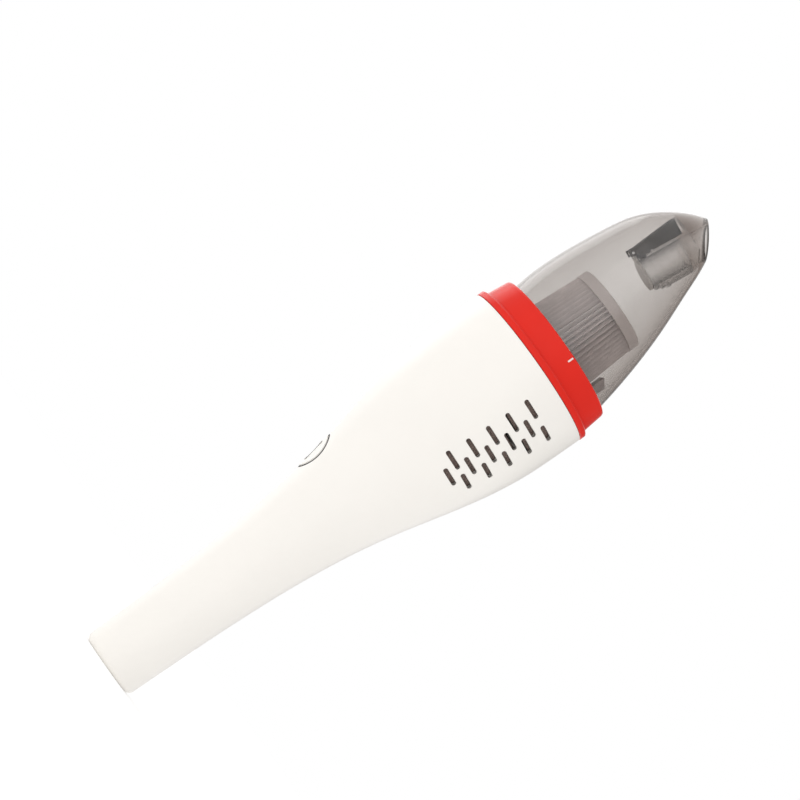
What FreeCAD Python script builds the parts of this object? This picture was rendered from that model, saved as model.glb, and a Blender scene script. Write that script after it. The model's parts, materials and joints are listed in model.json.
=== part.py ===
import FreeCAD, Part
import math
import os

os.makedirs("parts", exist_ok=True)

# Cordless handheld vacuum, standing on its tail. Millimetres.
# +Z runs from the tail to the inlet, -Y is the switch side, +Y the belly side,
# and X = 0 is the plane where the two casing halves meet.

# ---------------------------------------------------------------- driving sizes
WALL = 2.2                  # casing wall
SEAM = 0.12                 # hairline between the two casing halves
FLOOR = 2.4                 # wall across the tail face
CASING_TOP = 233.2          # front edge of the casing
RIM_DEPTH = 7.2             # cylindrical seat for the collar inside the casing
RIM_R = 38.0                # radius of that seat
# casing radius at a few heights, from the grip to the front edge
GRIP = [(16.3, 3.2), (17.3, 48.0), (20.0, 93.0), (25.8, 134.0), (35.0, 174.0), (39.5, 203.0),
        (40.1, 219.0), (40.2, CASING_TOP)]

VENT_WIDTH = 2.2
VENT_LENGTH = 10.5
VENT_PITCH = 10.3
VENT_COUNT = 5
# each row of slots: degrees from the side towards the belly, and the height of its first slot
VENT_ROWS = [(18.0, 178.3), (29.0, 173.1), (40.0, 178.3)]
SCREEN_GAP = 0.25           # between the casing and the foam screens behind the slots
SCREEN_THICK = 1.8
SCREEN_Z = [(170.5, 204.0), (209.0, 225.6)]
SCREEN_ANGLE = (4.0, 54.0)

COLLAR_GAP = 0.2            # shadow gap between casing and collar
COLLAR_FLANGE_R = 40.4
COLLAR_FLANGE_TOP = 236.6
COLLAR_BAND_R = (38.3, 37.2)    # the band behind and in front
COLLAR_TOP = 248.8
COLLAR_BORE = 34.0
SEAL_Z = (241.0, 243.6)
SEAL_R = (33.85, 35.2)
GROOVE_CLEAR = 0.25
MARK_ANGLE = 7.0            # degrees from +X towards +Y
MARK_R = (36.5, 37.55)
MARK_Z = (245.2, 248.0)
MARK_WIDTH = 0.8

CUP_WALL = 2.1
CUP_BACK = 238.8            # rear edge of the cup, inside the collar
CUP_R = 33.7
# distance of the cup's switch-side and belly-side outlines from the axis
CUP_TOP = [(249.8, 33.7), (264.0, 34.7), (284.0, 33.6), (298.0, 31.9), (311.0, 29.5), (320.0, 25.8),
           (328.0, 20.7), (334.0, 15.6), (341.0, 7.0)]
CUP_BOTTOM = [(249.8, 33.7), (264.0, 30.5), (284.0, 24.8), (298.0, 19.8), (311.0, 14.6), (320.0, 11.1),
              (328.0, 7.4), (334.0, 3.6), (341.0, -1.5)]
CUP_SECTIONS = [249.8, 258, 265, 274, 284, 292, 299, 306, 312, 317, 322, 327.4, 331, 334.5, 338, 341]
CAVITY_TOP = 328.0          # the cup is solid in front of this height
MOUTH_TIP = (-8.2, 339.5)   # y, z of the switch-side corner of the inlet mouth
MOUTH_HEEL = (8.0, 327.0)   # y, z of its belly-side corner

DUCT_R = 9.7
DUCT_BORE = 6.7
DUCT_BACK = (-3.7, 302.0)   # y, z of the centre of the duct's rear end
DUCT_FRONT = (-0.3, 333.3)  # y, z of the centre of the mouth
DUCT_JOINT = 19.5           # from the rear end to where the duct enters the nose
DUCT_END_R = 7.8            # the duct tapers to this at its rear end
DUCT_TAPER = 7.0
RIB_WIDTH = 1.3
RIBS = [(0.9, 8.7), (3.6, 9.5), (6.3, 10.2)]    # start of each ring, and its radius

FLAP_R = 7.4
FLAP_THICK = 1.2
FLAP_GAP = 0.35
FLAP_PIN_R = 0.6
PIN_LIFT = 11.7             # from the duct's axis to the pin, towards the switch side
PIN_ALONG = -0.95
KNUCKLE_R = 1.25
KNUCKLE_HALF = 2.4
LUG_X = (2.7, 4.4)
LUG_LIFT = 10.3
STRAP_TOP = (13.4, 16.5)    # from the duct's axis to the strap's outer face, at its rear and front
STRAP_WIDTH = 9.0
STRAP_ALONG = (0.8, 23.0)

SEAT_Z = (226.0, 231.0)     # plate across the casing that carries the filter
SPIGOT_TOP = 246.8
SPIGOT_R = 14.0
SPIGOT_BORE = 11.8
SOCKET_R = (14.25, 16.2)
SOCKET_LOW = 234.0
BASE_Z = (244.8, 250.0)     # drum behind the pleats
BASE_R = 22.2
BASE_WALL = 1.6
TAB_WIDTH = 12.0
# outline of the finger tab on the belly side: distance from the axis and height
TAB_OUTLINE = [(21.0, 245.2), (27.4, 245.2), (27.4, 256.0), (23.2, 258.6), (23.2, 250.0), (21.0, 250.0)]
PLEAT_Z = (250.0, 275.4)
PLEAT_R = (22.0, 20.4)
PLEAT_DEPTH = 3.2
PLEAT_WEB = 0.9
PLEAT_COUNT = 54
CORE_R = 13.6
CORE_WALL = 1.3
CORE_HOLE_R = 1.4
CORE_HOLE_Z = (254.6, 259.6, 264.6, 269.6)
CAP_Z = (275.4, 280.9)
CAP_R = 20.7
CAP_DISH_R = 15.5
CAP_DISH_DEPTH = 1.2

FAN_R = 25.0
FAN_BACK = 212.0
FAN_PLATE = 1.2
FAN_RING = 1.0
FAN_HUB_R = 5.0
FAN_BLADES = 9
BLADE_HIGH = 6.0
BLADE_THICK = 1.0
BLADE_SWEEP_R = 18.0        # radius that each blade is bent to
BLADE_ROOT_R = 7.5
NUT_ACROSS = 5.5            # across the flats
NUT_HIGH = 2.4
SHROUD_R = 31.0
SHROUD_Z = (208.5, 226.0)
SHROUD_EYE = 12.0

MOTOR_R = 17.9
MOTOR_Z = (166.0, 206.0)
CAN_WALL = 1.0
MAGNET_IN_R = 12.4
ROTOR_R = 11.4
ROTOR_SLOTS = 5
SLOT_HALF = 1.2
SLOT_FLOOR_R = 7.2
WINDING_R = 9.0
WINDING_LONG = 3.0
COMMUTATOR_R = 4.6
SHAFT_R = 1.6
RUNNING_CLEAR = 0.05
BUSH_R = 4.5
SHAFT_Z = (158.8, 223.6)
BELL_BACK = 160.0
TERMINAL_X = 6.0
TERMINAL_Y = 10.5
MOTOR_SCREW_Y = (-9.0, 9.0)
BOOT_R = 20.4
MOTOR_WEB = 168.5
AIR_HOLE_R = 4.0
AIR_HOLE_RING = 25.5
MOUNT_Z = (206.0, 208.5)
MOUNT_R = 34.0
SLEEVE_R = (18.1, 24.4)     # foam round the motor, which quietens it
SLEEVE_Z = (172.0, 202.0)

CELL_R = 9.2
CELL_LONG = 65.0
CELL_STARTS = [22.5, 89.5]
TRAY_R = (9.3, 10.3)
TRAY_WEBS = [40.0, 70.0, 110.0]
WEB = 1.6                   # thickness of the casing's cross walls
WIRE_WAY = 3.2              # half width of the notch for the wires
WIRE_R = 0.7
BUTTON_Z = 131.9
BUTTON_R = 9.4
BEZEL_R = (9.55, 10.3)
BUTTON_HOLE_R = 10.35
BUTTON_PROUD = 0.5
BUTTON_TRAVEL = 1.4
DISH_R = 6.0
DISH_DEPTH = 0.5
BUTTON_SKIRT_R = 8.2
FLANGE_R = 11.2
FLANGE_DEPTH = (5.7, 6.5)   # depths are measured from the casing's surface, along the button's axis
ROOF_DEPTH = 3.0
STEM_R = 2.2
STEM_DEPTH = 5.2
PLUNGER_R = 1.6
PLUNGER_DEPTH = 9.0
SWITCH_SIDE = 7.0
SWITCH_TOP = 7.2
BOARD_DEPTH = (11.8, 13.0)
GUIDE_R = (11.7, 13.2)

PORT_SIZE = (3.2, 8.9)      # thickness in X and width in Y of the charging socket
PORT_BACK = (0.5, 7.9)      # mouth and rear end of the socket
PORT_SHELL = 0.3

SCREWS = [(11.2, 12.0), (14.0, 100.0), (24.5, 160.0), (-24.5, 160.0)]   # y, z
POST_R = 3.3
SCREW_R = 1.4
SCREW_HEAD_R = 2.6
SCREW_SEAT = -6.0
SCREW_END = 8.0

SCREW_HEAD = 1.8
CROSS = (1.4, 0.35)         # half length and half width of the screw's cross recess

V = FreeCAD.Vector
X, Z = V(1, 0, 0), V(0, 0, 1)
ORIGIN = V(0, 0, 0)


# ---------------------------------------------------------------- helpers
def cyl(radius, start, length, axis=Z):
    return Part.makeCylinder(radius, length, start, axis)


def drum(radius, low, high):
    return cyl(radius, V(0, 0, low), high - low)


def tube(outer, inner, low, high):
    return drum(outer, low, high).cut(drum(inner, low - 1, high + 1))


def block(xs, ys, zs):
    size = [b - a for a, b in (xs, ys, zs)]
    return Part.makeBox(*size, V(xs[0], ys[0], zs[0]))


def turned(points):
    """Solid of revolution about Z from (radius, height) corners."""
    corners = [V(r, 0, z) for r, z in points]
    return Part.Face(Part.makePolygon(corners + corners[:1])).revolve(ORIGIN, Z, 360)


def joined(shapes):
    first, *rest = shapes
    return first.multiFuse(rest).removeSplitter() if rest else first


def spline(points):
    curve = Part.BSplineCurve()
    curve.interpolate([V(r, 0, z) for r, z in points])
    return curve


def reading(points, z):
    """Smooth value at height z of a line given as (height, value) pairs."""
    curve = Part.BSplineCurve()
    curve.interpolate([V(value, 0, height) for height, value in points])
    low, high = curve.FirstParameter, curve.LastParameter
    for _ in range(40):
        middle = (low + high) / 2
        if curve.value(middle).z < z:
            low = middle
        else:
            high = middle
    return curve.value(low).x


def slope(points, z):
    step = 0.5
    low, high = max(z - step, points[0][0]), min(z + step, points[-1][0])
    return (reading(points, high) - reading(points, low)) / (high - low)


def save(name, shape):
    shape.exportStep("parts/" + name + ".step")


# ---------------------------------------------------------------- casing
def casing_radius(z):
    return reading([(height, radius) for radius, height in GRIP], z)


def grip_body(inset, floor, top):
    """Solid inside the casing's outline, drawn in by inset, from floor to top."""
    points = [(r - inset, z) for r, z in GRIP]
    start_r, start_z = points[0]
    end_r = points[-1][0]
    edge = start_z - floor
    foot = V(start_r - edge, 0, floor)
    corner = edge * (1 - math.cos(math.pi / 4))
    bend = Part.Arc(foot, V(start_r - corner, 0, floor + corner), V(start_r, 0, start_z))
    lines = [(V(0, 0, floor), foot), (V(end_r, 0, CASING_TOP), V(end_r, 0, top)),
             (V(end_r, 0, top), V(0, 0, top)), (V(0, 0, top), V(0, 0, floor))]
    edges = [Part.LineSegment(a, b).toShape() for a, b in lines if (b - a).Length > 0.001]
    edges += [bend.toShape(), spline(points).toShape()]
    body = Part.Face(Part.Wire(Part.__sortEdges__(edges))).revolve(ORIGIN, Z, 360)
    body.rotate(ORIGIN, Z, -90)
    return body


def vent(angle, z):
    """Radial cutter for one round-ended slot."""
    inner, deep = 29.0, 14.0
    half, width = (VENT_LENGTH - VENT_WIDTH) / 2, VENT_WIDTH / 2
    a, b = V(inner, -half, -width), V(inner, half, -width)
    c, d = V(inner, half, width), V(inner, -half, width)
    outline = Part.Wire([
        Part.LineSegment(a, b).toShape(), Part.Arc(b, V(inner, half + width, 0), c).toShape(),
        Part.LineSegment(c, d).toShape(), Part.Arc(d, V(inner, -half - width, 0), a).toShape()])
    slot = Part.Face(outline).extrude(X * deep)
    slot.rotate(ORIGIN, Z, angle)
    slot.translate(V(0, 0, z))
    return slot


def vents(side):
    """All slots of one half; the -X half has them the other way round."""
    return [vent(angle if side > 0 else 180 - angle, start + n * VENT_PITCH)
            for angle, start in VENT_ROWS for n in range(VENT_COUNT)]


def vent_screen(side):
    """Foam pads that lie against the inside of the casing behind the slots of one side."""
    pad = grip_body(WALL + SCREEN_GAP, FLOOR, CASING_TOP)
    pad = pad.cut(grip_body(WALL + SCREEN_GAP + SCREEN_THICK, FLOOR, CASING_TOP))
    start, end = SCREEN_ANGLE
    pads = []
    for low, high in SCREEN_Z:
        wedge = Part.makeCylinder(60, high - low, V(0, 0, low), Z, end - start)
        wedge.rotate(ORIGIN, Z, start if side > 0 else 180 - end)
        pads.append(pad.common(wedge))
    return Part.makeCompound(pads)


def webs(solid):
    """Cross walls that hold the cells and the motor, inside the casing."""
    tray_webs = [solid.common(tube(60, TRAY_R[1], z, z + WEB)).cut(
        block((-WIRE_WAY, WIRE_WAY), (-40, -TRAY_R[0]), (z - 1, z + WEB + 1))) for z in TRAY_WEBS]
    motor_web = solid.common(tube(60, BOOT_R, MOTOR_WEB, MOTOR_WEB + WEB))
    ledge = solid.common(tube(60, MOUNT_R - 1.5, MOUNT_Z[0] - WEB, MOUNT_Z[0]))
    return tray_webs + [motor_web, ledge]


def casing_half(side):
    """One half of the casing: side +1 lies at +X, side -1 at -X and takes the screw heads."""
    outside = grip_body(0, 0, CASING_TOP)
    shell = outside.cut(grip_body(WALL, FLOOR, CASING_TOP))
    middle = grip_body(WALL / 2, FLOOR / 2, CASING_TOP)
    posts = [middle.common(cyl(POST_R, V(0, y, z), 45, X * side)) for y, z in SCREWS]
    half = joined([shell] + webs(middle) + posts)
    half = half.cut(drum(RIM_R, CASING_TOP - RIM_DEPTH, CASING_TOP + 1))
    half = half.cut(drum(MOUNT_R, *MOUNT_Z))
    half = half.cut(cyl(BUTTON_HOLE_R, from_button(12), 20, button_axis()))
    half = half.cut(port_hole())
    for y, z in SCREWS:
        if side > 0:
            half = half.cut(cyl(SCREW_R, V(0, y, z), SCREW_END + 1, X))
        else:
            half = half.cut(cyl(SCREW_R + 0.2, V(-20, y, z), 20, X))
            half = half.cut(cyl(SCREW_HEAD_R + 0.3, V(SCREW_SEAT - 45, y, z), 45, X))
    half = half.common(block(sorted((side * SEAM / 2, side * 60)), (-60, 60), (-5, 260)))
    for slot in vents(side):
        half = half.cut(slot)
    return half


def casing_screws():
    screws = []
    for y, z in SCREWS:
        top = SCREW_SEAT - SCREW_HEAD
        head = cyl(SCREW_HEAD_R, V(top, y, z), SCREW_HEAD, X)
        shank = cyl(SCREW_R, V(SCREW_SEAT, y, z), SCREW_END - SCREW_SEAT, X)
        long, thin = CROSS
        cross = joined([block((-thin, thin), (-long, long), (-thin, thin)),
                        block((-thin, thin), (-thin, thin), (-long, long))])
        cross.translate(V(top, y, z))
        screws.append(joined([head, shank]).cut(cross))
    return Part.makeCompound(screws)


# ---------------------------------------------------------------- power button and its board
def button_axis():
    """Outward direction square to the casing where the button sits."""
    tilt = math.atan(slope([(height, radius) for radius, height in GRIP], BUTTON_Z))
    return V(0, -math.cos(tilt), -math.sin(tilt))


def from_button(depth, across=0, along=0):
    """Point below the casing's surface at the button: across is +X, along is tail to nose."""
    out = button_axis()
    forward = X.cross(out)
    surface = V(0, -casing_radius(BUTTON_Z), BUTTON_Z)
    return surface - out * depth + X * across - forward * along


def button_block(xs, alongs, depths):
    """Box whose faces are square to the button's axis."""
    corners = [from_button(depths[0], x, s) for x, s in
               ((xs[0], alongs[0]), (xs[1], alongs[0]), (xs[1], alongs[1]), (xs[0], alongs[1]))]
    floor = Part.Face(Part.makePolygon(corners + corners[:1]))
    return floor.extrude(button_axis() * (depths[0] - depths[1]))


def button_drum(radius, depths):
    top, bottom = depths
    return cyl(radius, from_button(bottom), bottom - top, button_axis())


def power_button():
    skin = grip_body(-BUTTON_PROUD, -BUTTON_PROUD, CASING_TOP)
    cap = button_drum(BUTTON_R, (-4, FLANGE_DEPTH[1])).common(skin)
    flange = button_drum(FLANGE_R, FLANGE_DEPTH)
    hollow = button_drum(BUTTON_SKIRT_R, (ROOF_DEPTH, FLANGE_DEPTH[1] + 1))
    dish = button_drum(DISH_R, (-4, 10)).common(skin).cut(grip_body(DISH_DEPTH - BUTTON_PROUD, 0, CASING_TOP))
    stem = button_drum(STEM_R, (ROOF_DEPTH - 0.5, STEM_DEPTH))
    return joined([joined([cap, flange]).cut([hollow, dish]), stem])


def button_bezel():
    """Dark ring let into the casing's hole, flush with its surface."""
    ring = button_drum(BEZEL_R[1], (-4, 8)).cut(button_drum(BEZEL_R[0], (-5, 9)))
    return ring.common(grip_body(0, 0, CASING_TOP)).cut(grip_body(WALL, FLOOR, CASING_TOP))


def switch_plunger():
    return button_drum(PLUNGER_R, (STEM_DEPTH, PLUNGER_DEPTH))


def push_switch():
    half = SWITCH_SIDE / 2
    body = button_block((-half, half), (-half, half), (SWITCH_TOP, BOARD_DEPTH[0]))
    return body.cut(button_drum(PLUNGER_R + 0.2, (SWITCH_TOP - 1, PLUNGER_DEPTH + BUTTON_TRAVEL + 0.4)))


def button_guide():
    ring = button_drum(GUIDE_R[1], (4, BOARD_DEPTH[0])).cut(button_drum(GUIDE_R[0], (3, 20)))
    return ring.common(grip_body(WALL + 0.1, FLOOR, CASING_TOP))


def control_board():
    """Circuit board under the button, with its transistor, coil and capacitors."""
    board = button_block((-12, 12), (-16, 16), BOARD_DEPTH)
    top, under = BOARD_DEPTH
    parts = [button_block((x - 1.6, x + 1.6), (-15.8, -14.0), (top - 1.3, top)) for x in (-7, 0, 7)]
    parts.append(button_block((-10, -3), (8.5, 13.5), (under, under + 1.4)))
    parts.append(button_block((3, 9), (9, 13), (under, under + 1.2)))
    return joined([board] + parts)


# ---------------------------------------------------------------- charging socket
def rounded_slot(xs, ys, zs):
    bar = block(xs, ys, zs)
    upright = [e for e in bar.Edges if abs(e.Length - (zs[1] - zs[0])) < 0.001 and
               abs(e.tangentAt(e.FirstParameter).z) > 0.99]
    return bar.makeFillet((xs[1] - xs[0]) * 0.42, upright)


def port_bar(grow, low, high):
    half_x, half_y = PORT_SIZE[0] / 2 + grow, PORT_SIZE[1] / 2 + grow
    return rounded_slot((-half_x, half_x), (-half_y, half_y), (low, high))


def port_hole():
    return port_bar(0.15, -1, FLOOR + 1)


def charging_port():
    return port_bar(0, PORT_BACK[0], PORT_BACK[1]).cut(port_bar(-PORT_SHELL, -1, PORT_BACK[1] + 1))


def port_tongue():
    """Contact tongue on its block, inside the socket's shell."""
    base = port_bar(-PORT_SHELL, PORT_BACK[1] - 1.5, PORT_BACK[1])
    tongue = block((-0.35, 0.35), (-3.35, 3.35), (PORT_BACK[0] + 1.0, PORT_BACK[1] - 1.0))
    return joined([base, tongue])


def charge_board():
    face = -PORT_SIZE[0] / 2
    board = block((face - 1.2, face), (-6.8, 6.8), (FLOOR + 0.3, 20))
    chips = [block((face - 2.4, face - 1.2), (y, y + 3.6), (12, 16)) for y in (-5.5, 1.5)]
    return joined([board] + chips)


# ---------------------------------------------------------------- battery
def battery_cell(low):
    """Cylindrical cell with its crimp groove and raised contact."""
    high = low + CELL_LONG
    outline = [(0, low), (8.4, low), (CELL_R, low + 0.8), (CELL_R, high - 5), (8.5, high - 4.4),
               (8.5, high - 3.8), (CELL_R, high - 3.2), (CELL_R, high - 1.4), (8.4, high - 0.8),
               (4.2, high - 0.8), (4.2, high), (0, high)]
    return turned(outline)


def cell_strips():
    rear, front = CELL_STARTS[0], CELL_STARTS[1] + CELL_LONG
    link = drum(4.2, CELL_STARTS[0] + CELL_LONG, CELL_STARTS[1])
    ends = [block((-3, 3), (-7, 7), (rear - 0.3, rear)), block((-3, 3), (-7, 7), (front, front + 0.3))]
    return Part.makeCompound(ends[:1] + [link] + ends[1:])


def cell_tray():
    """Trough along the belly side of the cells, with a stop at each end."""
    low, high = CELL_STARTS[0] - 1.2, CELL_STARTS[1] + CELL_LONG + 1.2
    trough = tube(TRAY_R[1], TRAY_R[0], low, high)
    stops = [tube(TRAY_R[1], 7.6, z, z + 0.8) for z in (low, high - 0.8)]
    return joined([trough] + stops).cut(block((-20, 20), (-20, -3), (0, 200)))


# ---------------------------------------------------------------- wires
def wire_path(points, bend):
    """Straight runs joined by tangent arcs of one radius."""
    edges = []
    last = points[0]
    for before, at, after in zip(points, points[1:], points[2:]):
        into, out = (at - before).normalize(), (after - at).normalize()
        turn = into.getAngle(out)
        cut = bend * math.tan(turn / 2)
        start, end = at - into * cut, at + out * cut
        to_centre = (out - into).normalize() * (bend / math.cos(turn / 2))
        top = at + to_centre - to_centre.normalize() * bend
        edges += [Part.LineSegment(last, start).toShape(), Part.Arc(start, top, end).toShape()]
        last = end
    edges.append(Part.LineSegment(last, points[-1]).toShape())
    return Part.Wire(edges)


def wire(points, bend=3.0):
    path = wire_path(points, bend)
    section = Part.Wire(Part.makeCircle(WIRE_R, points[0], points[1] - points[0]))
    return path.makePipeShell([section], True, False)


def charge_leads():
    """Pair of wires from the charging board to the control board, past the cells."""
    board_x = -PORT_SIZE[0] / 2 - 0.6
    clear_y, top = -11.7, 108.0
    leads = []
    for x, z in ((board_x, 7.0), (board_x + 3.0, 12.0)):
        end = from_button(BOARD_DEPTH[1] - 0.6, x, -16.0)
        leads.append(wire([V(board_x, -6.8, z), V(x, clear_y, z + 1.0), V(x, clear_y, top), end]))
    return Part.makeCompound(leads)


def motor_lead(side):
    """Wire from the control board's front edge to one motor terminal."""
    start = from_button(BOARD_DEPTH[1] - 0.6, side * 5, 16.0)
    tab = V(side * TERMINAL_X, -TERMINAL_Y, BELL_BACK - 3.4)
    lift = V(start.x + (tab.x - start.x) * 0.4, (start.y + tab.y) / 2, start.z + 2.0)
    return wire([start, lift, tab], bend=1.5)


# ---------------------------------------------------------------- motor
def motor_can():
    shell = tube(MOTOR_R, MOTOR_R - CAN_WALL, *MOTOR_Z)
    front = tube(MOTOR_R, BUSH_R, MOTOR_Z[1] - CAN_WALL, MOTOR_Z[1])
    holes = [cyl(1.5, V(0, y, MOTOR_Z[1] - 3), 5) for y in MOTOR_SCREW_Y]
    return joined([shell, front]).cut(holes)


def motor_magnets():
    ring = tube(MOTOR_R - CAN_WALL, MAGNET_IN_R, MOTOR_Z[0] + 6, MOTOR_Z[1] - 5)
    gap = block((-4, 4), (-30, 30), (0, 300))
    return ring.cut(gap)


def motor_rotor():
    """Slotted iron core, windings and commutator on the shaft."""
    low, high = MOTOR_Z[0] + 8, MOTOR_Z[1] - 7
    core = drum(ROTOR_R, low, high)
    slots = []
    for n in range(ROTOR_SLOTS):
        slot = block((SLOT_FLOOR_R, ROTOR_R + 1), (-SLOT_HALF, SLOT_HALF), (low - 1, high + 1))
        slot.rotate(ORIGIN, Z, 360 / ROTOR_SLOTS * n)
        slots.append(slot)
    windings = [drum(WINDING_R, low - WINDING_LONG, low), drum(WINDING_R, high, high + WINDING_LONG)]
    commutator = drum(COMMUTATOR_R, MOTOR_Z[0] + 0.5, low - WINDING_LONG)
    return joined([core.cut(slots)] + windings + [commutator]).cut(drum(SHAFT_R, 100, 300))


def motor_end_bell():
    bell = drum(MOTOR_R, BELL_BACK, MOTOR_Z[0])
    bell = bell.makeFillet(1.6, [bell.Edges[i] for i in range(len(bell.Edges))
                                 if abs(bell.Edges[i].BoundBox.ZMax - BELL_BACK) < 0.001])
    return bell.cut(drum(BUSH_R, BELL_BACK - 1, MOTOR_Z[0] + 1))


def motor_terminals():
    return Part.makeCompound([
        block((side * TERMINAL_X - 0.3, side * TERMINAL_X + 0.3), (-TERMINAL_Y - 1.4, -TERMINAL_Y + 1.4),
              (BELL_BACK - 3.4, BELL_BACK)) for side in (-1, 1)])


def motor_mount():
    """Plate across the casing that the motor hangs from, with air holes round it."""
    plate = tube(MOUNT_R, BUSH_R + 0.4, *MOUNT_Z)
    holes = [cyl(1.6, V(0, y, 200), 20) for y in MOTOR_SCREW_Y]
    for n in range(8):
        hole = cyl(AIR_HOLE_R, V(AIR_HOLE_RING, 0, 200), 20)
        hole.rotate(ORIGIN, Z, 45 * n + 22.5)
        holes.append(hole)
    return plate.cut(holes)


def motor_screws():
    return Part.makeCompound([
        joined([cyl(1.5, V(0, y, MOTOR_Z[1] - 2.5), 2.5 + MOUNT_Z[1] - MOUNT_Z[0]),
                cyl(2.6, V(0, y, MOUNT_Z[1]), 1.6)]) for y in MOTOR_SCREW_Y])


# ---------------------------------------------------------------- fan
def impeller():
    """Closed centrifugal fan: back plate, swept blades and front ring round its eye."""
    plate_top = FAN_BACK + FAN_PLATE
    top = plate_top + BLADE_HIGH
    parts = [drum(FAN_R, FAN_BACK, plate_top), drum(FAN_HUB_R, FAN_BACK, top)]
    parts.append(tube(FAN_R, SHROUD_EYE, top, top + FAN_RING))
    reach = tube(FAN_R - 0.3, BLADE_ROOT_R, FAN_BACK, top + 1)
    one_side = block((0, 40), (-40, 8.5), (FAN_BACK, top + 1))
    for n in range(FAN_BLADES):
        arc = tube(BLADE_SWEEP_R + BLADE_THICK / 2, BLADE_SWEEP_R - BLADE_THICK / 2, plate_top, top)
        arc.translate(V(BLADE_SWEEP_R * 0.86, BLADE_SWEEP_R * 0.75, 0))
        blade = arc.common(reach).common(one_side)
        blade.rotate(ORIGIN, Z, 360 / FAN_BLADES * n)
        parts.append(blade)
    return joined(parts).cut(drum(SHAFT_R, FAN_BACK - 1, top + 2))


def impeller_nut():
    low = FAN_BACK + FAN_PLATE + BLADE_HIGH
    corner_r = NUT_ACROSS / math.sqrt(3)
    corners = [V(corner_r * math.cos(math.radians(60 * n)), corner_r * math.sin(math.radians(60 * n)), low)
               for n in range(7)]
    nut = Part.Face(Part.makePolygon(corners)).extrude(Z * NUT_HIGH)
    return nut.cut(drum(SHAFT_R, low - 1, low + NUT_HIGH + 1))


def fan_shroud():
    """Housing round the fan, with an eye in front and outlets round its side."""
    low, high = SHROUD_Z
    wall = tube(SHROUD_R, SHROUD_R - 1.8, low, high)
    front = tube(SHROUD_R, SHROUD_EYE, high - 1.6, high)
    outlets = []
    for n in range(10):
        outlet = block((SHROUD_R - 4, SHROUD_R + 2), (-5, 5), (low + 3, high - 5))
        outlet.rotate(ORIGIN, Z, 36 * n)
        outlets.append(outlet)
    return joined([wall, front]).cut(outlets)


# ---------------------------------------------------------------- filter
def filter_seat():
    """Bulkhead across the casing's mouth, with the spigot that the filter slides on."""
    plate = tube(RIM_R, SPIGOT_BORE, *SEAT_Z)
    rim = tube(RIM_R - 6.5, RIM_R - 8, SEAT_Z[1], SEAT_Z[1] + 2.5)
    return joined([plate, rim, tube(SPIGOT_R, SPIGOT_BORE, SEAT_Z[0], SPIGOT_TOP)])


def filter_gasket():
    return tube(SOCKET_R[1] + 0.5, SPIGOT_R, SEAT_Z[1], SOCKET_LOW - 0.2)


def filter_base():
    """Cup-shaped base with its socket, and a finger tab to pull it by."""
    low, high = BASE_Z
    floor = high - BASE_WALL
    skirt = tube(BASE_R, BASE_R - BASE_WALL, low, high)
    plate = drum(BASE_R, floor, high)
    socket = tube(SOCKET_R[1], SOCKET_R[0], SOCKET_LOW, high)
    corners = [V(-TAB_WIDTH / 2, y, z) for y, z in TAB_OUTLINE]
    tab = Part.Face(Part.makePolygon(corners + corners[:1])).extrude(X * TAB_WIDTH)
    solid = joined([skirt, plate, socket, tab])
    return solid.cut([drum(SOCKET_R[0], SOCKET_LOW - 1, SPIGOT_TOP + 0.3), drum(SPIGOT_BORE, low, high + 1)])


def pleat_wire(outer, z):
    """Closed zigzag round the axis, PLEAT_DEPTH deep."""
    step = math.pi / PLEAT_COUNT
    corners = [V((outer - PLEAT_DEPTH * (n % 2)) * math.cos(step * n),
                 (outer - PLEAT_DEPTH * (n % 2)) * math.sin(step * n), z) for n in range(2 * PLEAT_COUNT)]
    return Part.makePolygon(corners + corners[:1])


def pleat_body(inset):
    ends = [pleat_wire(r - inset, z) for r, z in zip(PLEAT_R, PLEAT_Z)]
    return Part.makeLoft(ends, True, True)


def filter_pleats():
    return pleat_body(0).cut(pleat_body(PLEAT_WEB))


def filter_core():
    """Perforated tube that holds the pleats open."""
    shell = tube(CORE_R, CORE_R - CORE_WALL, *PLEAT_Z)
    holes = []
    for row, z in enumerate(CORE_HOLE_Z):
        for n in range(10):
            hole = cyl(CORE_HOLE_R, V(CORE_R - 3, 0, z), 6, X)
            hole.rotate(ORIGIN, Z, 36 * n + 18 * (row % 2))
            holes.append(hole)
    return shell.cut(holes)


def filter_end_cap():
    low, high = CAP_Z
    cap = drum(CAP_R, low, high)
    cap = cap.makeFillet(1.2, [e for e in cap.Edges if abs(e.BoundBox.ZMin - high) < 0.001])
    return cap.cut(drum(CAP_DISH_R, high - CAP_DISH_DEPTH, high + 1))


# ---------------------------------------------------------------- collar
def collar_ring():
    """Red ring: spigot in the casing, flange, then a stepped band round the cup's neck."""
    low = CASING_TOP + COLLAR_GAP
    back, front = COLLAR_BAND_R
    outline = [(COLLAR_BORE, SEAT_Z[1]), (RIM_R, SEAT_Z[1]), (RIM_R, low), (COLLAR_FLANGE_R - 0.3, low),
               (COLLAR_FLANGE_R, low + 0.3), (COLLAR_FLANGE_R, COLLAR_FLANGE_TOP - 0.5),
               (COLLAR_FLANGE_R - 0.5, COLLAR_FLANGE_TOP), (back + 0.6, COLLAR_FLANGE_TOP + 0.1),
               (back, COLLAR_FLANGE_TOP + 0.6), (front, COLLAR_TOP - 1.2), (front - 0.3, COLLAR_TOP - 0.4),
               (front - 1.0, COLLAR_TOP), (COLLAR_BORE + 0.4, COLLAR_TOP), (COLLAR_BORE, COLLAR_TOP - 0.4)]
    groove = tube(SEAL_R[1] + GROOVE_CLEAR, 30, SEAL_Z[0] - GROOVE_CLEAR, SEAL_Z[1] + GROOVE_CLEAR)
    return turned(outline).cut([groove, mark_block()])


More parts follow.
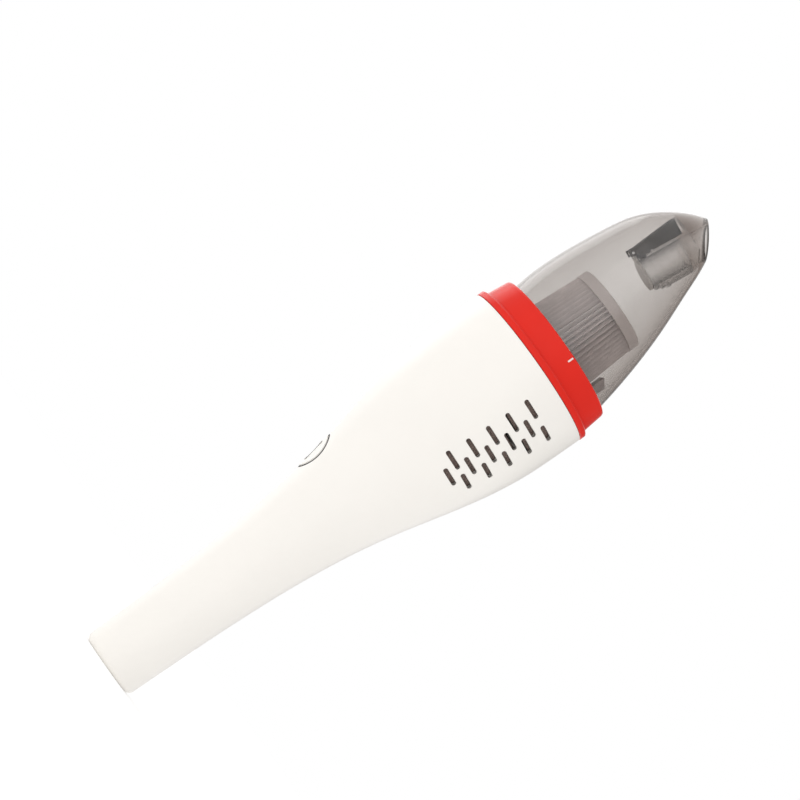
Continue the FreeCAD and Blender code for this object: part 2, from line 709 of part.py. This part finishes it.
def mark_block():
    """Space of the alignment mark, let into the band on the +X side."""
    mark = block(MARK_R, (-MARK_WIDTH / 2, MARK_WIDTH / 2), MARK_Z)
    mark.rotate(ORIGIN, Z, MARK_ANGLE)
    return mark


def cup_seal():
    low, high = SEAL_Z
    inner, outer = SEAL_R
    return turned([(inner + 0.3, low), (outer, low), (outer, high), (inner + 0.3, high),
                   (inner, high - 0.4), (inner, low + 0.4)])


# ---------------------------------------------------------------- dust cup
def cup_section(z, inset):
    """Circle between the cup's two outlines at height z, drawn in square to the wall, as two arcs."""
    top = reading(CUP_TOP, z) - inset * math.hypot(1, slope(CUP_TOP, z))
    bottom = reading(CUP_BOTTOM, z) - inset * math.hypot(1, slope(CUP_BOTTOM, z))
    radius, middle = (top + bottom) / 2, (bottom - top) / 2
    low, high = V(0, -top, z), V(0, bottom, z)
    arcs = [Part.Arc(low, V(radius, middle, z), high), Part.Arc(high, V(-radius, middle, z), low)]
    return Part.Wire([arc.toShape() for arc in arcs])


def cup_body(inset, heights):
    loft = Part.makeLoft([cup_section(z, inset) for z in heights], True)
    neck = drum(CUP_R - inset, CUP_BACK - (0 if inset == 0 else 1), heights[0])
    neck.rotate(ORIGIN, Z, 90)
    return neck.fuse(loft)


def duct_axis():
    (y0, z0), (y1, z1) = DUCT_BACK, DUCT_FRONT
    return V(0, y1 - y0, z1 - z0).normalize()


def on_duct(along, lift=0, across=0):
    """Point in the duct's frame: along from its rear end, lift towards the switch side."""
    axis = duct_axis()
    return V(0, *DUCT_BACK) + axis * along + axis.cross(X) * -lift + X * across


def mouth_space():
    """Everything in front of the slanted mouth."""
    tip, heel = V(0, *MOUTH_TIP), V(0, *MOUTH_HEEL)
    along = (heel - tip).normalize()
    ahead = X.cross(along)
    ahead = ahead if ahead.z > 0 else ahead * -1
    start, end = tip - along * 30, heel + along * 30
    corners = [start, end, end + ahead * 40, start + ahead * 40]
    face = Part.Face(Part.makePolygon(corners + corners[:1]))
    face.translate(X * -40)
    return face.extrude(X * 80)


def dust_cup():
    outside = cup_body(0, CUP_SECTIONS)
    stub = cyl(DUCT_R, on_duct(DUCT_JOINT), 30, duct_axis())
    hollow = cup_body(CUP_WALL, [z for z in CUP_SECTIONS if z < CAVITY_TOP]).cut(stub)
    bore = cyl(DUCT_BORE, on_duct(DUCT_JOINT - 5), 40, duct_axis())
    return outside.cut(hollow).cut([bore, mouth_space()])


def duct_outside(length):
    """Tube that widens to the front over its first part, with rings round that part."""
    taper = Part.makeCone(DUCT_END_R, DUCT_R, DUCT_TAPER, on_duct(0), duct_axis())
    pipe = cyl(DUCT_R, on_duct(DUCT_TAPER), length - DUCT_TAPER, duct_axis())
    rings = [cyl(radius, on_duct(start), RIB_WIDTH, duct_axis()) for start, radius in RIBS]
    return joined([taper, pipe] + rings)


def inlet_duct():
    """Tube from the nose back into the cup."""
    return duct_outside(DUCT_JOINT).cut(cyl(DUCT_BORE, on_duct(-1), DUCT_JOINT + 2, duct_axis()))


# ---------------------------------------------------------------- non-return flap
def duct_block(xs, lifts, alongs):
    """Box in the duct's frame."""
    corners = [on_duct(alongs[0], lift, x) for x, lift in
               ((xs[0], lifts[0]), (xs[1], lifts[0]), (xs[1], lifts[1]), (xs[0], lifts[1]))]
    return Part.Face(Part.makePolygon(corners + corners[:1])).extrude(duct_axis() * (alongs[1] - alongs[0]))


def pin_rod(radius, half):
    return cyl(radius, on_duct(PIN_ALONG, PIN_LIFT, -half), 2 * half, X)


def flap_strap():
    """Rubber strap that rises from the duct towards the nose, with two hinge lugs behind it."""
    half = STRAP_WIDTH / 2
    rear, front = STRAP_ALONG
    corners = [on_duct(along, lift, -half) for along, lift in
               ((rear, 0), (rear, STRAP_TOP[0]), (front, STRAP_TOP[1]), (front, 0))]
    slab = Part.Face(Part.makePolygon(corners + corners[:1])).extrude(X * STRAP_WIDTH)
    slab = slab.cut(duct_outside(front + 1))
    lugs = []
    for side in (-1, 1):
        xs = sorted((side * LUG_X[0], side * LUG_X[1]))
        lugs.append(duct_block(xs, (LUG_LIFT, STRAP_TOP[0]), (PIN_ALONG - 1.5, STRAP_ALONG[0] + 0.7)))
    return joined([slab] + lugs).cut(pin_rod(FLAP_PIN_R, 20))


def flap_pin():
    return pin_rod(FLAP_PIN_R, LUG_X[1])


def inlet_flap():
    back = -FLAP_GAP - FLAP_THICK
    disc = cyl(FLAP_R, on_duct(back), FLAP_THICK, duct_axis())
    ear = duct_block((-KNUCKLE_HALF, KNUCKLE_HALF), (5, PIN_LIFT), (back, -FLAP_GAP))
    knuckle = pin_rod(KNUCKLE_R, KNUCKLE_HALF)
    return joined([disc, ear, knuckle]).cut(pin_rod(FLAP_PIN_R + RUNNING_CLEAR, 10))


# ---------------------------------------------------------------- build
PIECES = {
    "casing_right": lambda: casing_half(1),
    "casing_left": lambda: casing_half(-1),
    "casing_screws": casing_screws,
    "power_button": power_button,
    "button_bezel": button_bezel,
    "switch_plunger": switch_plunger,
    "push_switch": push_switch,
    "button_guide": button_guide,
    "control_board": control_board,
    "charging_port": charging_port,
    "port_tongue": port_tongue,
    "charge_board": charge_board,
    "battery_cell_rear": lambda: battery_cell(CELL_STARTS[0]),
    "battery_cell_front": lambda: battery_cell(CELL_STARTS[1]),
    "cell_strips": cell_strips,
    "cell_tray": cell_tray,
    "charge_leads": charge_leads,
    "motor_lead_red": lambda: motor_lead(1),
    "motor_lead_black": lambda: motor_lead(-1),
    "motor_can": motor_can,
    "motor_magnets": motor_magnets,
    "motor_rotor": motor_rotor,
    "motor_shaft": lambda: drum(SHAFT_R, *SHAFT_Z),
    "motor_end_bell": motor_end_bell,
    "motor_terminals": motor_terminals,
    "front_bushing": lambda: tube(BUSH_R, SHAFT_R + RUNNING_CLEAR, MOTOR_Z[1] - 2.2, MOUNT_Z[1] - 0.8),
    "rear_bushing": lambda: tube(BUSH_R, SHAFT_R + RUNNING_CLEAR, BELL_BACK + 0.6, MOTOR_Z[0] - 0.6),
    "motor_boot": lambda: tube(BOOT_R, MOTOR_R, MOTOR_WEB - 1.5, MOTOR_WEB + WEB + 1.5),
    "motor_sleeve": lambda: tube(SLEEVE_R[1], SLEEVE_R[0], *SLEEVE_Z),
    "vent_screen_right": lambda: vent_screen(1),
    "vent_screen_left": lambda: vent_screen(-1),
    "motor_mount": motor_mount,
    "motor_screws": motor_screws,
    "impeller": impeller,
    "impeller_nut": impeller_nut,
    "fan_shroud": fan_shroud,
    "filter_seat": filter_seat,
    "filter_gasket": filter_gasket,
    "filter_base": filter_base,
    "filter_pleats": filter_pleats,
    "filter_core": filter_core,
    "filter_end_cap": filter_end_cap,
    "collar_ring": collar_ring,
    "alignment_mark": mark_block,
    "cup_seal": cup_seal,
    "dust_cup": dust_cup,
    "inlet_duct": inlet_duct,
    "flap_strap": flap_strap,
    "flap_pin": flap_pin,
    "inlet_flap": inlet_flap,
}

for node, make in PIECES.items():
    save(node, make())
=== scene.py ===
import json
import math

import bpy
from mathutils import Matrix, Vector


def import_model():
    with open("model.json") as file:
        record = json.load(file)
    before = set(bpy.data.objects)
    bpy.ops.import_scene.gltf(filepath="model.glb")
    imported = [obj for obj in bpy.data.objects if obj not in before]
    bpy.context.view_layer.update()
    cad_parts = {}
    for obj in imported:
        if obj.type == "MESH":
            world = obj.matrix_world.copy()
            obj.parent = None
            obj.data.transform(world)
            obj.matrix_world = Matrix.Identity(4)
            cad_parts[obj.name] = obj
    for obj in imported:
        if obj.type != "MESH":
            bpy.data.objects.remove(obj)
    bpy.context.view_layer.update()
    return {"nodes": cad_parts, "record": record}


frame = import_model()
NODES = frame["nodes"]

# Places are in metres. +Z runs from the tail to the inlet and -Y is the switch side.
MOUTH_TIP = Vector((0.0, -0.0082, 0.3395))    # switch-side corner of the slanted mouth
MOUTH_HEEL = Vector((0.0, 0.0080, 0.3270))    # its belly-side corner
# Painted shade: a thin band behind the mouth plane is coloured dark, standing in for the dark look of the
# cut lip.
LIP_DEPTH = (0.0007, 0.0012)                  # where the painted shade of the cut lip starts to fade, and ends
LIP_SHADE = (0.12, 0.11, 0.10)

# Painted shade: surfaces that see little open sky within these reaches are coloured darker, as in slots and
# fold valleys.
SLOT_REACH = 0.004          # how near the walls of a slot are to each other
PLEAT_REACH = 0.003         # and those of a fold
SHUT_IN = (0.45, 0.72)      # shares of open sky: what sees less is in a slot, what sees more is not

IVORY = (0.900, 0.868, 0.820)
SLOT_SHADE = (0.022, 0.014, 0.011)
SMOKE = (0.47, 0.39, 0.34)  # what the depth of the smoked plastic lets through
THIN_WALL_IOR = 1.06        # a thin wall hardly bends the light that goes through it
SKIN_IOR = 1.5
GLOSS_ROUGHNESS = 0.12

# Surface detail, in features per metre.
COLOR_PATCHES = 40
GLOSS_PATCHES = 110
MOULD_WAVES = 28
METAL_PATCHES = 120
WALL_PATCHES = 30
WALL_GLOSS_PATCHES = 60
WALL_WAVES = 25
DUST_PATCHES = 260
PAPER_FIBRES = 1600
FOAM_CELLS = 1700
FLOOR_PATCHES = 6


# ---------------------------------------------------------------- material helpers
def new_material(name):
    material = bpy.data.materials.new(name)
    material.use_nodes = True
    shader = material.node_tree.nodes["Principled BSDF"]
    return material, material.node_tree, shader


def object_coords(tree):
    return tree.nodes.new("ShaderNodeTexCoord").outputs["Object"]


def noise(tree, scale, detail=4.0, stretch=(1, 1, 1)):
    """Noise in object space, scale in features per metre."""
    mapping = tree.nodes.new("ShaderNodeMapping")
    mapping.inputs["Scale"].default_value = stretch
    texture = tree.nodes.new("ShaderNodeTexNoise")
    texture.inputs["Scale"].default_value = scale
    texture.inputs["Detail"].default_value = detail
    tree.links.new(object_coords(tree), mapping.inputs["Vector"])
    tree.links.new(mapping.outputs["Vector"], texture.inputs["Vector"])
    return texture.outputs["Fac"]


def ramp(tree, source, low, high, start=0.35, end=0.65):
    """Colour that goes from low to high while the source goes from start to end."""
    node = tree.nodes.new("ShaderNodeValToRGB")
    node.color_ramp.elements[0].position = start
    node.color_ramp.elements[0].color = (*low, 1)
    node.color_ramp.elements[1].position = end
    node.color_ramp.elements[1].color = (*high, 1)
    tree.links.new(source, node.inputs["Fac"])
    return node.outputs["Color"]


def spread(tree, source, low, high, start=0.3, end=0.7, growth="LINEAR"):
    """Value that goes from low to high while the source goes from start to end."""
    node = tree.nodes.new("ShaderNodeMapRange")
    node.interpolation_type = growth
    for socket, value in zip(("From Min", "From Max", "To Min", "To Max"), (start, end, low, high)):
        node.inputs[socket].default_value = value
    tree.links.new(source, node.inputs["Value"])
    return node.outputs["Result"]


def blend_colors(tree, factor, color, other):
    """Turns from a colour socket to a plain colour as the factor goes from 0 to 1."""
    mix = tree.nodes.new("ShaderNodeMix")
    mix.data_type = "RGBA"
    color_a, color_b = mix.inputs[6], mix.inputs[7]
    tree.links.new(factor, mix.inputs["Factor"])
    tree.links.new(color, color_a)
    color_b.default_value = (*other, 1)
    return mix.outputs[2]


def shaded(tint, share):
    return [channel * share for channel in tint]


def bump(tree, source, strength, distance, under=None):
    node = tree.nodes.new("ShaderNodeBump")
    node.inputs["Strength"].default_value = strength
    node.inputs["Distance"].default_value = distance
    tree.links.new(source, node.inputs["Height"])
    if under is not None:
        tree.links.new(under, node.inputs["Normal"])
    return node.outputs["Normal"]


def soft_edges(tree, radius):
    node = tree.nodes.new("ShaderNodeBevel")
    node.samples = 4
    node.inputs["Radius"].default_value = radius
    return node.outputs["Normal"]


def shade_in_crevices(tree, color, crevice, reach):
    """Painted shade: turns to the crevice colour where the surface is shut in on most sides, as in a slot.
    """
    open_sky = tree.nodes.new("ShaderNodeAmbientOcclusion")
    open_sky.samples = 6
    open_sky.only_local = True
    open_sky.inputs["Distance"].default_value = reach
    mask = ramp(tree, open_sky.outputs["AO"], (1, 1, 1), (0, 0, 0), *SHUT_IN)
    return blend_colors(tree, mask, color, crevice)


def along(tree, coords, direction):
    """How far the coordinates lie along a direction."""
    node = tree.nodes.new("ShaderNodeVectorMath")
    node.operation = "DOT_PRODUCT"
    node.inputs[1].default_value = direction
    tree.links.new(coords, node.inputs[0])
    return node.outputs["Value"]


def paint_lip_shade(tree, color):
    """Painted shade: turns to the lip's dark shade in a thin band behind the plane of the mouth."""
    outward = Vector((1, 0, 0)).cross(MOUTH_HEEL - MOUTH_TIP).normalized()
    plane = outward.dot(MOUTH_TIP)
    fades, ends = LIP_DEPTH
    near = spread(tree, along(tree, object_coords(tree), outward), 0, 1, plane - ends, plane - fades)
    return blend_colors(tree, near, color, LIP_SHADE)


# ---------------------------------------------------------------- kinds of material
def plastic(name, color, drift=0.03, rough=(0.3, 0.4), grain=2500, depth=0.00002, edge=0.0003, wave=0.0,
            crevice=None, shine=0.5):
    """Moulded plastic: faint colour drift, fine spark-eroded grain, uneven gloss, softened edges, and
    painted shade in slots when a crevice colour is given.
    """
    material, tree, shader = new_material(name)
    skin = ramp(tree, noise(tree, COLOR_PATCHES), shaded(color, 1 - drift), color)
    # painted shade: walls that see little open sky, as in slots, turn to the crevice colour
    if crevice:
        skin = shade_in_crevices(tree, skin, crevice, SLOT_REACH)
    tree.links.new(skin, shader.inputs["Base Color"])
    shader.inputs["Specular IOR Level"].default_value = shine
    tree.links.new(spread(tree, noise(tree, GLOSS_PATCHES), *rough), shader.inputs["Roughness"])
    normal = soft_edges(tree, edge)
    if wave:
        normal = bump(tree, noise(tree, MOULD_WAVES, 1.0), 0.3, wave, normal)
    normal = bump(tree, noise(tree, grain, 3.0), 0.3, depth, normal)
    tree.links.new(normal, shader.inputs["Normal"])
    return material


def metal(name, color, rough=(0.22, 0.38), grain=900, stretch=(1, 1, 1)):
    """Plated or turned metal: patchy polish, with tool marks where the grain is stretched."""
    material, tree, shader = new_material(name)
    shader.inputs["Metallic"].default_value = 1.0
    polish = ramp(tree, noise(tree, METAL_PATCHES), shaded(color, 0.86), color)
    tree.links.new(polish, shader.inputs["Base Color"])
    tree.links.new(spread(tree, noise(tree, grain, 4.0, stretch), *rough), shader.inputs["Roughness"])
    normal = bump(tree, noise(tree, grain * 2, 3.0, stretch), 0.2, 0.00002, soft_edges(tree, 0.0001))
    tree.links.new(normal, shader.inputs["Normal"])
    return material


def clear(name, tint, edge_on_shade, density, rough, haze=0.0, rim=0.35):
    """Thin smoked plastic: it hardly bends light, its polished skin reflects, and its depth darkens it. Its
    colour is also painted darker where the wall is seen edge-on and in a band at the cut lip, as painted
    shade.
    """
    material, tree, shader = new_material(name)
    facing = tree.nodes.new("ShaderNodeLayerWeight")
    facing.inputs["Blend"].default_value = rim
    wall = ramp(tree, noise(tree, WALL_PATCHES), shaded(tint, 0.985), tint)
    # painted shade: the colour darkens where the wall is seen edge-on
    wall = blend_colors(tree, facing.outputs["Facing"], wall, edge_on_shade)
    # painted shade: a dark band at the cut lip
    tree.links.new(paint_lip_shade(tree, wall), shader.inputs["Base Color"])
    tree.links.new(spread(tree, noise(tree, WALL_GLOSS_PATCHES), *rough), shader.inputs["Roughness"])
    shader.inputs["Transmission Weight"].default_value = 1.0 - haze
    shader.inputs["IOR"].default_value = THIN_WALL_IOR
    shader.inputs["Coat Weight"].default_value = 1.0
    shader.inputs["Coat IOR"].default_value = SKIN_IOR
    shader.inputs["Coat Roughness"].default_value = GLOSS_ROUGHNESS
    skin = bump(tree, noise(tree, WALL_WAVES, 1.0), 0.1, 0.00004)
    tree.links.new(skin, shader.inputs["Normal"])
    tree.links.new(skin, shader.inputs["Coat Normal"])
    absorb = tree.nodes.new("ShaderNodeVolumeAbsorption")
    absorb.inputs["Color"].default_value = (*SMOKE, 1)
    absorb.inputs["Density"].default_value = density
    tree.links.new(absorb.outputs["Volume"], tree.nodes["Material Output"].inputs["Volume"])
    return material


def paper(name, color):
    """Filter fleece: matted fibres that run along the folds, patchy dust, and painted shade in the valleys.
    """
    material, tree, shader = new_material(name)
    fleece = ramp(tree, noise(tree, DUST_PATCHES, 6.0), shaded(color, 0.82), color)
    # painted shade: the fold valleys are coloured darker
    tree.links.new(shade_in_crevices(tree, fleece, shaded(color, 0.78), PLEAT_REACH), shader.inputs["Base Color"])
    shader.inputs["Roughness"].default_value = 0.92
    shader.inputs["Sheen Weight"].default_value = 0.25
    fibres = bump(tree, noise(tree, PAPER_FIBRES, 5.0, (1, 1, 0.25)), 0.6, 0.00012)
    tree.links.new(fibres, shader.inputs["Normal"])
    return material


def foam(name, color):
    """Open-cell foam: pores of about half a millimetre, painted dark as shade and bumped in, between
    lighter struts.
    """
    material, tree, shader = new_material(name)
    cells = tree.nodes.new("ShaderNodeTexVoronoi")
    cells.feature = "DISTANCE_TO_EDGE"
    cells.inputs["Scale"].default_value = FOAM_CELLS
    tree.links.new(object_coords(tree), cells.inputs["Vector"])
    pores = cells.outputs["Distance"]
    # painted shade: the pores are coloured dark
    tree.links.new(ramp(tree, pores, color, shaded(color, 0.25), 0.05, 0.3), shader.inputs["Base Color"])
    shader.inputs["Roughness"].default_value = 0.95
    tree.links.new(bump(tree, pores, 0.8, -0.0002), shader.inputs["Normal"])
    return material


# ---------------------------------------------------------------- the object's materials, by slot
MATERIALS = {
    "shell_white": lambda name: plastic(name, IVORY, 0.012, (0.30, 0.36), wave=0.00006, shine=0.35,
                                        crevice=SLOT_SHADE),
    "collar_red": lambda name: plastic(name, (0.74, 0.030, 0.020), 0.05, (0.16, 0.22), 3000, shine=0.06,
                                       edge=0.0006),
    "mark_white": lambda name: plastic(name, (0.90, 0.74, 0.71)),
    # The second colour of each clear plastic is painted shade for where its wall is seen edge-on.
    "smoked_clear": lambda name: clear(name, (0.85, 0.84, 0.83), (0.70, 0.685, 0.67), 120, (0.10, 0.15)),
    "duct_clear": lambda name: clear(name, (0.99, 0.985, 0.98), (0.08, 0.07, 0.065), 30, (0.10, 0.16),
                                     haze=0.09, rim=0.62),
    "rubber_black": lambda name: plastic(name, (0.028, 0.019, 0.015), 0.25, (0.5, 0.65), shine=0.15),
    "silicone_grey": lambda name: plastic(name, (0.46, 0.435, 0.41), 0.06, (0.45, 0.6)),
    "steel_bright": lambda name: metal(name, (0.72, 0.72, 0.72)),
    "motor_steel": lambda name: metal(name, (0.55, 0.55, 0.56), stretch=(1, 1, 8)),
    "filter_grey": lambda name: plastic(name, (0.64, 0.585, 0.57), 0.03, (0.45, 0.6), 1800),
    "pleat_paper": lambda name: paper(name, (0.88, 0.82, 0.81)),
    "frame_black": lambda name: plastic(name, (0.020, 0.020, 0.020), 0.2, (0.5, 0.65), shine=0.15),
    "foam_dark": lambda name: foam(name, (0.045, 0.036, 0.030)),
    "foam_screen": lambda name: foam(name, (0.27, 0.20, 0.175)),
    "fan_plastic": lambda name: plastic(name, (0.045, 0.045, 0.050), 0.15, (0.35, 0.5)),
    "cell_wrap": lambda name: plastic(name, (0.03, 0.16, 0.32), 0.08, (0.2, 0.3), 1200),
    "nickel": lambda name: metal(name, (0.66, 0.63, 0.57)),
    "board_green": lambda name: plastic(name, (0.012, 0.09, 0.03), 0.2, (0.3, 0.4)),
    "wire_red": lambda name: plastic(name, (0.5, 0.02, 0.015), 0.1),
    "wire_black": lambda name: plastic(name, (0.018, 0.018, 0.018), 0.2),
    "magnet_dark": lambda name: plastic(name, (0.045, 0.045, 0.045), 0.2, (0.5, 0.7), 1500, depth=0.00005),
    "rotor_iron": lambda name: metal(name, (0.30, 0.27, 0.24), (0.4, 0.6), stretch=(1, 1, 12)),
    "bronze": lambda name: metal(name, (0.55, 0.36, 0.17), (0.35, 0.5)),
    "mount_zinc": lambda name: metal(name, (0.57, 0.57, 0.57)),
}


def dress_nodes():
    made = {name: make(name) for name, make in MATERIALS.items()}
    for part in frame["record"]["subparts"]:
        node = NODES[part["node"]]
        node.data.materials.clear()
        node.data.materials.append(made[part["material_slot"]])


# ---------------------------------------------------------------- floor, light and camera
FLOOR_SIZE = 12.0
FLOOR_GREYS = ((0.89, 0.89, 0.89), (0.91, 0.91, 0.91))
FLOOR_LIFT = 0.18            # glow that keeps the floor as white as the studio round it
SOFT_FROM = Vector((0.0, -1.0, 0.25)).normalized()
SOFT_RANGE = (0.84, 1.06)    # strength of the soft light from the belly side and from the switch side
SOFT_SPAN = (-1.0, 1.0)      # where along SOFT_FROM it grows
GLOSS_RANGE = (0.12, 1.5)    # the same for what the gloss reflects
GLOSS_SPAN = (-0.45, 0.05)
WHITE = (1, 1, 1, 1)

BODY_MIDDLE = (0, 0, 0.2)
KEY_PLACE, KEY_SIZE, KEY_WATTS = (1.7, -0.9, 1.0), (1.5, 1.5), 2.0
RIM_PLACE, RIM_SIZE, RIM_WATTS = (-1.0, -1.15, 0.3), (0.8, 1.6), 5.0

VIEW_TILT_TAIL = 4.7         # degrees that the camera stands towards the tail
VIEW_TILT_SWITCH = 4.8       # and towards the switch side
VIEW_ROLL = 35.25            # degrees of the long axis above the picture's horizontal
VIEW_DISTANCE = 1.6
VIEW_LENS = 159.0
VIEW_SENSOR = 36.0
VIEW_CLIP = (0.05, 50)
VIEW_AIM = Vector((0.0, -0.0217, 0.177))


def floor():
    material, tree, shader = new_material("floor_pale")
    paint = ramp(tree, noise(tree, FLOOR_PATCHES), *FLOOR_GREYS)
    tree.links.new(paint, shader.inputs["Base Color"])
    shader.inputs["Roughness"].default_value = 0.9
    shader.inputs["Specular IOR Level"].default_value = 0.0
    shader.inputs["Emission Color"].default_value = WHITE
    shader.inputs["Emission Strength"].default_value = FLOOR_LIFT
    bpy.ops.mesh.primitive_plane_add(size=FLOOR_SIZE, location=(0, 0, 0))
    plane = bpy.context.object
    plane.name = "floor"
    plane.data.materials.append(material)


def graded(tree, source, strengths, span):
    """White light that grows from one strength to the other over a span of the source."""
    light = tree.nodes.new("ShaderNodeBackground")
    light.inputs["Color"].default_value = WHITE
    tree.links.new(spread(tree, source, *strengths, *span, "SMOOTHSTEP"), light.inputs["Strength"])
    return light.outputs["Background"]


def either(tree, factor, first, second):
    mix = tree.nodes.new("ShaderNodeMixShader")
    tree.links.new(factor, mix.inputs["Fac"])
    tree.links.new(first, mix.inputs[1])
    tree.links.new(second, mix.inputs[2])
    return mix.outputs["Shader"]


def world():
    """Studio that looks white, and lights the object a little less from the belly side."""
    studio = bpy.data.worlds.new("studio")
    bpy.context.scene.world = studio
    studio.use_nodes = True
    tree = studio.node_tree
    coords = tree.nodes.new("ShaderNodeTexCoord")
    side = along(tree, coords.outputs["Generated"], SOFT_FROM)
    white = tree.nodes["Background"]
    white.inputs["Color"].default_value = WHITE
    white.inputs["Strength"].default_value = 1.0
    path = tree.nodes.new("ShaderNodeLightPath")
    seen = tree.nodes.new("ShaderNodeMath")
    seen.operation = "MAXIMUM"
    tree.links.new(path.outputs["Is Camera Ray"], seen.inputs[0])
    tree.links.new(path.outputs["Is Transmission Ray"], seen.inputs[1])
    lit = either(tree, path.outputs["Is Glossy Ray"],
                 graded(tree, side, SOFT_RANGE, SOFT_SPAN),
                 graded(tree, side, GLOSS_RANGE, GLOSS_SPAN))
    sky = either(tree, seen.outputs["Value"], lit, white.outputs["Background"])
    tree.links.new(sky, tree.nodes["World Output"].inputs["Surface"])


def area_light(name, place, size, power):
    data = bpy.data.lights.new(name, "AREA")
    data.shape = "RECTANGLE"
    data.size, data.size_y = size
    data.energy = power
    lamp = bpy.data.objects.new(name, data)
    lamp.location = place
    lamp.rotation_mode = "QUATERNION"
    lamp.rotation_quaternion = (Vector(place) - Vector(BODY_MIDDLE)).to_track_quat("Z", "Y")
    bpy.context.scene.collection.objects.link(lamp)
    return lamp


def lights():
    area_light("key", KEY_PLACE, KEY_SIZE, KEY_WATTS)
    rim = area_light("rim", RIM_PLACE, RIM_SIZE, RIM_WATTS)
    rim.visible_diffuse = False
    rim.visible_transmission = False


def camera():
    data = bpy.data.cameras.new("camera")
    data.sensor_width = VIEW_SENSOR
    data.lens = VIEW_LENS
    data.clip_start, data.clip_end = VIEW_CLIP
    eye = bpy.data.objects.new("camera", data)
    bpy.context.scene.collection.objects.link(eye)
    tail, switch = math.radians(VIEW_TILT_TAIL), math.radians(VIEW_TILT_SWITCH)
    back = Vector((math.cos(tail) * math.cos(switch), -math.sin(switch) * math.cos(tail), -math.sin(tail)))
    long_axis = (Vector((0, 0, 1)) - back * back.z).normalized()
    right = Matrix.Rotation(-math.radians(VIEW_ROLL), 3, back) @ long_axis
    up = back.cross(right)
    turn = Matrix((right, up, back)).transposed().to_4x4()
    eye.matrix_world = Matrix.Translation(VIEW_AIM + back * VIEW_DISTANCE) @ turn
    bpy.context.scene.camera = eye


dress_nodes()
floor()
world()
lights()
camera()
bpy.context.scene.view_settings.view_transform = "Standard"
